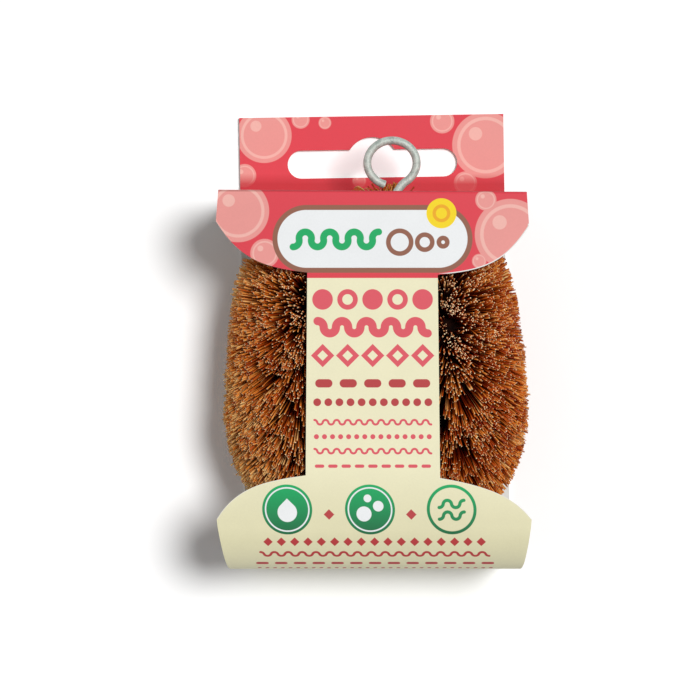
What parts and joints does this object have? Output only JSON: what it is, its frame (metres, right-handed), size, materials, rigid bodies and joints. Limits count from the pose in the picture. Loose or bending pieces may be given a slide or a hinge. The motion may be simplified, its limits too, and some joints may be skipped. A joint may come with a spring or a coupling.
{
  "type": "scrub brush",
  "caption": "Small loop-shaped coir scrub brush with a wire hanging ring, held in a folded card sleeve with a hinged hang tab.",
  "frame": {"origin": "centre of the whole object's outline in plan, in the plane of the card back that it lies on", "axes": "+X to the right of the printed front, +Y towards the hang tab, +Z out of the printed front"},
  "size_m": [0.0572, 0.0846, 0.0304],
  "materials": {
    "core_wire": "matte",
    "ring_wire": "satin",
    "coir": "matte",
    "sleeve_card": "satin",
    "tab_card": "satin"
  },
  "bodies": {
    "sleeved_brush": {"card_sleeve": "sleeve_card", "core_wire_a": "core_wire", "core_wire_b": "core_wire", "hanging_ring": "ring_wire", "coir_bundle_01": "coir", "coir_bundle_02": "coir", "coir_bundle_03": "coir", "coir_bundle_04": "coir", "coir_bundle_05": "coir", "coir_bundle_06": "coir", "coir_bundle_07": "coir", "coir_bundle_08": "coir", "coir_bundle_09": "coir", "coir_bundle_10": "coir", "coir_bundle_11": "coir", "coir_bundle_12": "coir"},
    "tab": {"hang_tab": "tab_card"}
  },
  "joints": [
    {"name": "tab_fold", "type": "hinge", "parent": "sleeved_brush", "child": "tab", "pos_m": [0, 0.027, 0.0004], "axis": [1, 0, 0], "range_deg": [-90, 60]}
  ]
}
